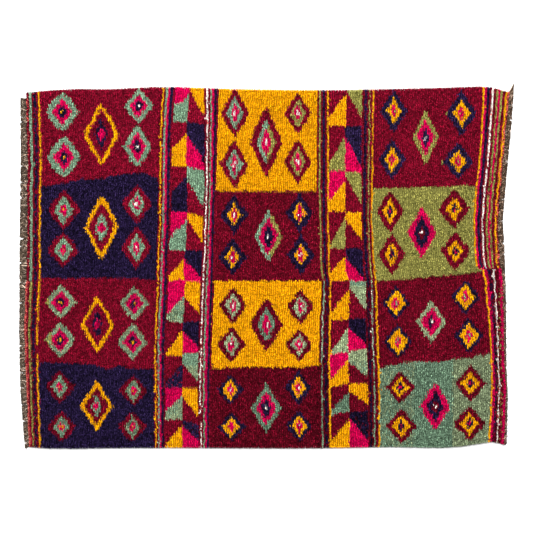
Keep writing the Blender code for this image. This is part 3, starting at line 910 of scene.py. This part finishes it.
def rim_locks():
    """Locks that hang over the ground's edge, all round the pile."""
    parts = []
    for x, y, away, along, across, row, chance in rim_places(np.random.default_rng(SEED + 1)):
        away = np.column_stack([away / np.linalg.norm(away, axis=1)[:, None], np.zeros(len(x))])
        edge = np.column_stack([x, y, np.zeros(len(x))])
        root = edge - away * RIM_ROOT_IN
        root[:, 2] = GROUND_THICK - RIM_ROOT_SUNK
        shoulder = edge - away * mix(*RIM_SHOULDERS_IN, chance[:, 0])[:, None]
        shoulder[:, 2] = mix(*row.shoulders, chance[:, 1])
        end = edge - away * mix(*RIM_TIPS_IN, chance[:, 2])[:, None]
        end[:, 2] = mix(*row.tips, chance[:, 3])
        yarn, dye = chart_at(along, across)
        width = mix(*RIM_WIDTHS, chance[:, 3])
        parts.append((root, shoulder, end, width, yarn, dye * mix(*RIM_SHADES, chance[:, 0])))
    return tuple(np.concatenate(part) for part in zip(*parts))


def mesh_of_points(name, points, faces):
    """A mesh of many copies of one small shape: points is copies x points x 3, faces is one copy's."""
    copies, per_copy = points.shape[:2]
    corners = np.array([index for face in faces for index in face])
    sizes = np.array([len(face) for face in faces])
    starts = np.concatenate([[0], np.cumsum(sizes)[:-1]])
    all_corners = (corners[None, :] + np.arange(copies)[:, None] * per_copy).ravel()
    all_starts = (starts[None, :] + np.arange(copies)[:, None] * len(corners)).ravel()
    mesh = bpy.data.meshes.new(name)
    mesh.vertices.add(copies * per_copy)
    mesh.vertices.foreach_set("co", points.astype(np.float32).ravel())
    mesh.loops.add(len(all_corners))
    mesh.loops.foreach_set("vertex_index", all_corners.astype(np.int32))
    mesh.polygons.add(len(all_starts))
    mesh.polygons.foreach_set("loop_start", all_starts.astype(np.int32))
    mesh.update(calc_edges=True)
    mesh.shade_smooth()
    return mesh


def note_yarn(mesh, shape, share, shade, chance):
    """Stores on each point how far up its yarn it is, its shade, and its yarn's own random number."""
    values = [np.broadcast_to(value, shape).ravel() for value in (share, shade, chance)]
    layer = mesh.attributes.new("yarn", "FLOAT_VECTOR", "POINT")
    layer.data.foreach_set("vector", np.stack(values, axis=1).astype(np.float32).ravel())


def unit(vectors):
    """Vectors at length 1."""
    return vectors / np.maximum(np.linalg.norm(vectors, axis=-1, keepdims=True), 1e-9)


def lock_points(place, turn, root, shoulder, end, width):
    """Points of many locks, each a spindle with a flat side below, widest at its shoulder."""
    heading = unit(end - shoulder)
    side = unit(np.cross(heading, np.array([0.0, 0.0, 1.0])))
    up = unit(np.cross(side, heading))
    centres = np.stack([root, shoulder, end], axis=1)[:, place]
    stands_off = (place == 1).astype(float)[:, None] * turn
    across = stands_off[None, :, 0, None]
    above = stands_off[None, :, 1, None]
    return (centres + side[:, None, :] * across * (width * LOCK_SPREAD)[:, None, None]
            + up[:, None, :] * above * LOCK_THICK * 0.5)


# Materials

def fill(tree, node, values):
    """Gives a node's sockets, by name or number, a value or another node's output each."""
    for socket, value in values.items():
        if isinstance(value, bpy.types.NodeSocket):
            tree.links.new(value, node.inputs[socket])
        else:
            node.inputs[socket].default_value = value


def add_node(tree, kind, values, **settings):
    """A new shader node with its settings and its sockets filled, as its outputs."""
    node = tree.nodes.new("ShaderNode" + kind)
    for name, value in settings.items():
        setattr(node, name, value)
    fill(tree, node, values)
    return node.outputs


def maths(tree, kind, *values):
    """Result of a Math node of two or three values, each a number or another node's output."""
    return add_node(tree, "Math", dict(enumerate(values)), operation=kind)[0]


def streaks(tree, place, scale, detail):
    """A Noise texture on a stretched place, as its value."""
    stretched = add_node(tree, "Mapping", {"Scale": scale, "Vector": place})["Vector"]
    return add_node(tree, "TexNoise", {"Scale": 1.0, "Detail": detail, "Vector": stretched})["Fac"]


def new_group(name, inputs, outputs):
    """A shader node group with named inputs, each (name, kind, default), and named outputs."""
    group = bpy.data.node_groups.new(name, "ShaderNodeTree")
    for label, kind, default in inputs:
        socket = group.interface.new_socket(label, in_out="INPUT", socket_type="NodeSocket" + kind)
        if default is not None:
            socket.default_value = default
    for label, kind in outputs:
        group.interface.new_socket(label, in_out="OUTPUT", socket_type="NodeSocket" + kind)
    return group, group.nodes.new("NodeGroupInput").outputs, group.nodes.new("NodeGroupOutput")


def wool_fibre_group():
    """Fine fibres along the yarn: a colour that varies from lock to lock, and a fibre normal."""
    group, given, result = new_group(
        "wool_fibre",
        (("Wool", "Color", (0.5, 0.1, 0.1, 1.0)), ("Yarn", "Vector", None), ("Place", "Vector", None),
         ("Root Painted Shade", "Float", 0.5), ("Unevenness", "Float", 0.3), ("Mottle", "Float", 1.3),
         ("Bleach", "Float", 0.0), ("Warmth", "Float", 0.0), ("Fibre Relief", "Float", 0.5)),
        (("Colour", "Color"), ("Normal", "Vector")),
    )
    work = partial(maths, group)
    share, dye, chance = add_node(group, "SeparateXYZ", {0: given["Yarn"]})
    fibres = streaks(group, given["Place"], FIBRE_SCALE, 2.0)
    flecks = work("SUBTRACT", streaks(group, given["Place"], FLECK_SCALE, 1.0), 0.5)

    # Light of each point: its lock's own dye (with the grooves' painted shade in it), painted shade at its
    # root, its fibres and its flecks
    lot = work("MULTIPLY_ADD", work("SUBTRACT", chance, 0.5), given["Unevenness"], 1.0)
    # Painted shade at the root: darker deep down among the locks, partly the deeper dye of the wool's base
    dark = work("MULTIPLY", work("POWER", work("SUBTRACT", 1.0, share), ROOT_FADE), given["Root Painted Shade"])
    light = work("MULTIPLY", work("MULTIPLY", work("SUBTRACT", 1.0, dark), lot), dye)
    fleck_light = work("MINIMUM", work("MULTIPLY_ADD", flecks, given["Mottle"], 1.0), FLECK_LIGHTS[1])
    fleck_light = work("MAXIMUM", fleck_light, FLECK_LIGHTS[0])
    fibre_light = work("MULTIPLY_ADD", fibres, *FIBRE_LIGHT)
    light = work("MULTIPLY", light, work("MULTIPLY", fibre_light, fleck_light))

    # Colour: the wool in that light, redder where it is dark, painted shade included, with pale flecks that
    # are partly bleached fibre and partly a painted sheen
    lit = add_node(group, "VectorMath", {0: given["Wool"], "Scale": light}, operation="SCALE")[0]
    # Where the wool is dark, painted shade included, its green and blue fall faster, so saffron's shade
    # turns orange-brown, standing in for light bounced between its locks
    cooler = work("POWER", work("MINIMUM", light, 1.0), given["Warmth"])
    keep_red = add_node(group, "CombineXYZ", {"X": 1.0, "Y": cooler, "Z": cooler})[0]
    dyed = add_node(group, "VectorMath", {0: lit, 1: keep_red}, operation="MULTIPLY")[0]
    # Pale grey on bright flecks and very bright strands, most at the tips: partly bleached fibre, partly a
    # painted sheen
    fleck = work("MAXIMUM", work("MAXIMUM", flecks, work("SUBTRACT", dye, BRIGHT_DYE)), 0.0)
    pale = work("MULTIPLY", work("MULTIPLY", fleck, given["Bleach"]), share)
    grey = add_node(group, "CombineXYZ", {"X": pale, "Y": pale, "Z": pale})[0]
    bleached_and_sheened = add_node(group, "VectorMath", {0: dyed, 1: grey}, operation="ADD")[0]

    bump = add_node(group, "Bump", {
        "Strength": given["Fibre Relief"], "Distance": FIBRE_HEIGHT, "Height": fibres})
    fill(group, result, {"Colour": bleached_and_sheened, "Normal": bump["Normal"]})
    return group


def new_material(name, roughness, shine):
    """A new material with its node tree and its shader."""
    material = bpy.data.materials.new(name)
    material.use_nodes = True
    shader = material.node_tree.nodes["Principled BSDF"]
    shader.inputs["Roughness"].default_value = roughness
    shader.inputs["Specular IOR Level"].default_value = shine
    return material, material.node_tree, shader


def wool_material(name, yarn, fibre_group, root_painted_shade, relief):
    """Matt wool in one colour, with its fibres, painted shade towards its roots and uneven dye."""
    material, tree, shader = new_material(name, roughness=0.92, shine=0.03)
    fibre = add_node(tree, "Group", {
        "Wool": (*yarn.colour, 1.0),
        "Yarn": add_node(tree, "Attribute", {}, attribute_name="yarn")["Vector"],
        "Place": add_node(tree, "TexCoord", {})["Object"],
        "Root Painted Shade": root_painted_shade,
        "Unevenness": yarn.unevenness,
        "Mottle": yarn.mottle,
        "Bleach": yarn.bleach,
        "Warmth": yarn.warmth,
        "Fibre Relief": relief,
    }, node_tree=fibre_group)
    fill(tree, shader, {"Base Color": fibre["Colour"], "Normal": fibre["Normal"]})
    return material


def ground_material():
    """Backs of the knots in their own wool, between rows of brown weft."""
    material, tree, shader = new_material("ground_weave", roughness=0.95, shine=0.15)
    work = partial(maths, tree)
    knots = add_node(tree, "Attribute", {}, attribute_name="knot_wool")["Color"]
    place = add_node(tree, "TexCoord", {})["Object"]
    weave = add_node(tree, "SeparateXYZ", {0: add_node(tree, "UVMap", {}, uv_map="weave")["UV"]})
    row, knot = work("PINGPONG", weave[0], 0.5), work("PINGPONG", weave[1], 0.5)
    below = work("LESS_THAN", add_node(tree, "SeparateXYZ", {0: place})[2], GROUND_THICK / 2)
    weft = work("MULTIPLY", work("GREATER_THAN", WEFT_SHARE, row), below)
    bulge = work("MULTIPLY", work("POWER", row, 0.5), work("POWER", knot, 0.5))
    light = work("MULTIPLY_ADD", streaks(tree, place, GROUND_SCALE, 3.0), *GROUND_LIGHT)
    wool = add_node(tree, "Mix", {"Factor": weft, 6: knots, 7: (*GROUND_BROWN, 1.0)}, data_type="RGBA")[2]
    lit = add_node(tree, "VectorMath", {0: wool, "Scale": light}, operation="SCALE")[0]
    bump = add_node(tree, "Bump", {"Strength": 0.8, "Distance": KNOT_HEIGHT, "Height": bulge})
    fill(tree, shader, {"Base Color": lit, "Normal": bump["Normal"]})
    return material


# Pieces

def to_mesh(bm, name):
    """A bmesh as a mesh. It frees the bmesh."""
    mesh = bpy.data.meshes.new(name)
    bm.to_mesh(mesh)
    bm.free()
    return mesh


def thicken(bm, thick):
    """Gives a flat sheet its thickness upward, and returns the points of its upper face."""
    doubled = bmesh.ops.extrude_face_region(bm, geom=bm.faces[:], use_keep_orig=True)["geom"]
    raised = [item for item in doubled if isinstance(item, bmesh.types.BMVert)]
    bmesh.ops.translate(bm, vec=(0.0, 0.0, thick), verts=raised)
    return raised


def add_piece(name, mesh, material, slot, replaces):
    """A finished piece on the rug's one body, standing for nodes of the plain part."""
    mesh.materials.clear()
    mesh.materials.append(material)
    piece = bpy.data.objects.new(name, mesh)
    bpy.context.scene.collection.objects.link(piece)
    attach(piece, "root")
    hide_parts(replaces)
    return piece


def pile_pieces(fibre_group):
    """One piece or more of locks for each wool of the pile."""
    place, turn, faces = lock_pattern()
    root, shoulder, end, width, yarn, shade = (
        np.concatenate(pair) for pair in zip(pile_locks(), rim_locks()))
    chance = np.random.default_rng(SEED + 2).uniform(0.0, 1.0, len(root))
    pieces = []
    for number, name in enumerate(YARN_NAMES):
        chosen = np.flatnonzero(yarn == number)
        chosen = chosen[np.argsort(shoulder[chosen, 0], kind="stable")]
        parts = max(1, -(-len(chosen) // LOCKS_PER_PIECE))
        material = wool_material("pile_" + name, YARNS[name], fibre_group, ROOT_PAINTED_SHADE, PILE_RELIEF)
        for part, members in enumerate(np.array_split(chosen, parts)):
            title = "pile_" + name if parts == 1 else "pile_%s_%d" % (name, part + 1)
            points = lock_points(place, turn, root[members], shoulder[members], end[members], width[members])
            mesh = mesh_of_points(title, points, faces)
            note_yarn(mesh, points.shape[:2], np.array(YARN_SHARES)[place], shade[members][:, None],
                      chance[members][:, None])
            pieces.append(add_piece(title, mesh, material, YARNS[name].slot, "knotted_rug"))
    return pieces


def ground_weave():
    """The woven ground: a thin slab with the backs of the knots below and plain weave above."""
    lines = [(band, row / band.rows) for band in GROUND_BANDS for row in range(band.rows)]
    lines.append((GROUND_BANDS[-1], 1.0))
    rows = len(lines) - 1
    bm = bmesh.new()
    bmesh.ops.create_grid(bm, x_segments=rows, y_segments=GROUND_FACES, size=1.0)
    weave = bm.loops.layers.uv.new("weave")
    wool = bm.loops.layers.float_color.new("knot_wool")
    inset = GROUND_INSET / CHART_SQUARE
    for vert in bm.verts:
        row = round((vert.co.x + 1) / 2 * rows)
        knot = (1 - vert.co.y) / 2
        band, share = lines[row]
        along, across, _, _ = line_of_knots(band.start, band.stop, share, knot, inset)
        along = min(max(along, seam_at("left_edge", across) + inset), seam_at("right_edge", across) - inset)
        for loop in vert.link_loops:
            loop[weave].uv = (row, knot * GROUND_FACES * KNOTS_A_FACE)
        vert.co.x, vert.co.y = to_rug(along, across)
    middles = [face.calc_center_median() for face in bm.faces]
    along = np.array([middle.x / CHART_SQUARE + MIDDLE_ALONG for middle in middles])
    across = np.array([MIDDLE_ACROSS - middle.y / CHART_SQUARE for middle in middles])
    for face, number, depth in zip(bm.faces, *chart_at(along, across)):
        colour = YARNS[YARN_NAMES[number]].colour
        for loop in face.loops:
            loop[wool] = (*(channel * depth for channel in colour), 1.0)
    thicken(bm, GROUND_THICK)
    bmesh.ops.recalc_face_normals(bm, faces=bm.faces[:])
    for face in bm.faces:
        if abs(face.normal.z) < 0.5:
            for loop in face.loops:
                loop[wool] = (*GROUND_BROWN, 1.0)
    mesh = to_mesh(bm, "ground_weave")
    return add_piece("ground_weave", mesh, ground_material(), "ground_wool", "knotted_rug")


def tube_pattern(sides, rings):
    """A closed tube as numbers: ring and turn of each point, with the faces between them."""
    bm = bmesh.new()
    bmesh.ops.create_cone(bm, cap_ends=True, segments=sides, radius1=1.0, radius2=1.0, depth=1.0)
    upright = [edge for edge in bm.edges if abs(edge.verts[0].co.z - edge.verts[1].co.z) > 0.5]
    bmesh.ops.subdivide_edges(bm, edges=upright, cuts=rings - 2, use_grid_fill=True)
    ring = np.array([round((vert.co.z + 0.5) * (rings - 1)) for vert in bm.verts])
    turn = np.array([np.arctan2(vert.co.y, vert.co.x) for vert in bm.verts])
    return ring, turn, outward_faces(bm)


def tube_points(ring, turn, path, radius, twist):
    """Points of many tubes along paths of strands x rings x 3, with a radius for each ring."""
    ahead = unit(np.gradient(path, axis=1))
    side = unit(np.cross(ahead, np.array([0.0, 0.0, 1.0])))
    up = np.cross(side, ahead)
    angle = turn[None, :] + twist[:, ring]
    reach = radius[:, ring]
    return (path[:, ring] + side[:, ring] * (np.cos(angle) * reach)[..., None]
            + up[:, ring] * (np.sin(angle) * reach)[..., None])


def fringe_strands(fringe, rng):
    """Paths, radii, twists, chances and ring shares of the warp ends of one end of the rug."""
    end, count = fringe.end, STRANDS_AN_END
    share = np.linspace(0.0, 1.0, STRAND_RINGS)[None, :]

    def draw(limits):
        return rng.uniform(*limits, count)[:, None]

    across = np.linspace(end[0].across, end[-1].across, count) + rng.uniform(-STRAND_JOG, STRAND_JOG, count)
    parted = np.min(np.abs(across[:, None] - np.array(fringe.gaps)), axis=1) < GAP_HALF
    root = seam_at(fringe.seam, across) - fringe.outward * STRAND_TUCK
    reach = (column_at(end, "tips", across) - root) * rng.uniform(*STRAND_REACHES, count)
    reach = np.where(parted, reach * rng.uniform(*GAP_REACHES, count), reach)
    sway = rng.normal(0.0, STRAND_SWAY, count)[:, None] * share ** 1.5
    curl = rng.normal(0.0, STRAND_CURL, count)[:, None] * np.sin(share * draw(CURL_TURNS))
    lean = column_at(end, "lean", across)
    x, y = to_rug(root[:, None] + reach[:, None] * share,
                  across[:, None] - lean[:, None] * share + sway + curl)
    radius = STRAND_RADIUS * draw(RADIUS_VARIES) * (1.0 - STRAND_TAPER * share ** 3)
    lift = draw((0.0, STRAND_LIFT)) * (1.0 - share * LIFT_FALL)
    path = np.stack([x, y, radius + lift + ABOVE_FLOOR], axis=2)
    twist = share * draw(STRAND_TWISTS) * tau
    chance = rng.uniform(0.0, 1.0, count)
    return path, radius, twist, np.where(parted, mix(*GAP_CHANCES, chance), chance), share


def fringe_wisps(fringe, rng):
    """The same, of the fine loose fibres that mat the warp ends together."""
    end, count = fringe.end, WISPS_AN_END
    share = np.linspace(0.0, 1.0, WISP_RINGS)[None, :]
    across = rng.uniform(end[0].across, end[-1].across, count)
    base = seam_at(fringe.seam, across) - fringe.outward * WISP_TUCK
    along = mix(base, column_at(end, "tips", across), rng.uniform(*WISP_PLACES, count))
    heading = rng.uniform(-pi, pi, count)[:, None]
    length = rng.uniform(*WISP_LENGTHS, count)[:, None]
    heading = heading + rng.normal(0.0, WISP_BEND, count)[:, None] * share
    x, y = to_rug(along[:, None] + np.cos(heading) * length * (share - 0.5),
                  across[:, None] + np.sin(heading) * length * (share - 0.5))
    taper = 1.0 - WISP_TAPER * np.abs(share * 2 - 1)
    radius = WISP_RADIUS * rng.uniform(*WISP_VARIES, count)[:, None] * taper
    height = rng.uniform(*WISP_HEIGHTS, count)[:, None] * np.ones_like(share)
    path = np.stack([x, y, height], axis=2)
    return path, radius, np.zeros(height.shape), rng.uniform(0.0, 1.0, count), share


def fringe_strip(fringe):
    """The felted strip of plain weave along one end, with a ragged outer edge."""
    end = fringe.end
    bm = bmesh.new()
    bmesh.ops.create_grid(bm, x_segments=STRIP_SQUARES[0], y_segments=STRIP_SQUARES[1], size=1.0)
    for vert in bm.verts:
        across = mix(end[0].across, end[-1].across, (1 - vert.co.y) / 2)
        out = (vert.co.x + 1) / 2
        ragged = sum(rag.size * noise.noise((across * rag.pace, rag.layer, 4.0)) for rag in STRIP_RAGGED)
        base = float(seam_at(fringe.seam, across)) - fringe.outward * STRIP_TUCK
        parted = min(abs(across - gap) for gap in fringe.gaps) < STRIP_GAP_HALF
        reach = STRIP_GAP_REACH if parted else STRIP_REACH + ragged
        along = mix(base, float(column_at(end, "tips", across)), out * reach)
        x, y = to_rug(along, across - float(column_at(end, "lean", across)) * out)
        vert.co = Vector((x, y, ABOVE_FLOOR))
    for vert in thicken(bm, STRIP_THICK):
        vert.co.z += STRIP_LUMP * noise.noise(vert.co * STRIP_LUMP_PACE)
    bmesh.ops.recalc_face_normals(bm, faces=bm.faces[:])
    mesh = to_mesh(bm, fringe.name + "_strip")
    note_yarn(mesh, len(mesh.vertices), share=0.5, shade=STRIP_PAINTED_SHADE, chance=0.5)
    return mesh


def fringe_piece(fringe, fibre_group):
    """The matted warp ends of one end, on the narrow strip of plain weave that holds them."""
    strands = fringe_strands(fringe, np.random.default_rng(fringe.seed))
    wisps = fringe_wisps(fringe, np.random.default_rng(fringe.seed + 50))
    meshes = []
    for (path, radius, twist, chance, share), sides in ((strands, 4), (wisps, 3)):
        ring, turn, faces = tube_pattern(sides, path.shape[1])
        points = tube_points(ring, turn, path, radius, twist)
        mesh = mesh_of_points(fringe.name + "_strands", points, faces)
        light = WARP_LIGHT[0] + WARP_LIGHT[1] * chance
        light = light + PALE_LIGHT * np.maximum(chance - PALE_WARPS, 0.0) / (1.0 - PALE_WARPS)
        note_yarn(mesh, points.shape[:2], mix(*WARP_SHARES, share)[:, ring], light[:, None], chance[:, None])
        meshes.append(mesh)
    meshes.append(fringe_strip(fringe))
    bm = bmesh.new()
    for mesh in meshes:
        bm.from_mesh(mesh)
        bpy.data.meshes.remove(mesh)
    material = wool_material(fringe.name + "_wool", fringe.warp, fibre_group, WARP_ROOT_PAINTED_SHADE, WARP_RELIEF)
    return add_piece(fringe.name, to_mesh(bm, fringe.name), material, fringe.warp.slot, fringe.node)


# Setting

def floor():
    """A plain pale floor, a hair below the rug so that their faces don't lie in one plane."""
    bm = bmesh.new()
    bmesh.ops.create_grid(bm, x_segments=1, y_segments=1, size=FLOOR_HALF)
    bmesh.ops.translate(bm, vec=(0.0, 0.0, -FLOOR_DROP), verts=bm.verts[:])
    mesh = to_mesh(bm, "floor")
    material, _, shader = new_material("floor_white", roughness=0.9, shine=0.5)
    shader.inputs["Base Color"].default_value = (FLOOR_GREY, FLOOR_GREY, FLOOR_GREY, 1.0)
    mesh.materials.append(material)
    piece = bpy.data.objects.new("floor", mesh)
    bpy.context.scene.collection.objects.link(piece)


def lights():
    """A wide soft light above the upper edge, and an even pale surround."""
    glow = bpy.data.lights.new("main_light", "AREA")
    glow.shape = "DISK"
    glow.size = LAMP_WIDTH
    glow.energy = LAMP_POWER
    lamp = bpy.data.objects.new("main_light", glow)
    turned = Euler((-LAMP_TILT, 0.0, LAMP_TURN))
    lamp.rotation_euler = turned
    lamp.location = turned.to_matrix() @ Vector((0.0, 0.0, LAMP_DISTANCE))
    bpy.context.scene.collection.objects.link(lamp)
    world = bpy.data.worlds.new("pale_surround")
    world.use_nodes = True
    surround = world.node_tree.nodes["Background"].inputs
    surround["Color"].default_value = (1.0, 1.0, 1.0, 1.0)
    surround["Strength"].default_value = SKY_STRENGTH
    bpy.context.scene.world = world
    bpy.context.scene.view_settings.view_transform = "Standard"


def camera():
    """The camera straight above the rug."""
    lens = bpy.data.cameras.new("camera")
    lens.lens = CAMERA_LENS
    lens.sensor_width = CAMERA_SENSOR
    lens.clip_end = 100.0
    holder = bpy.data.objects.new("camera", lens)
    x, y = to_rug(VIEW_MIDDLE, VIEW_MIDDLE)
    holder.location = (x, y, PILE_TOP + VIEW_WIDTH * CAMERA_LENS / CAMERA_SENSOR)
    bpy.context.scene.collection.objects.link(holder)
    bpy.context.scene.camera = holder


def main():
    camera()
    lights()
    floor()
    fibre_group = wool_fibre_group()
    pieces = pile_pieces(fibre_group)
    fringes = [fringe_piece(fringe, fibre_group) for fringe in FRINGES]
    weave = ground_weave()


main()
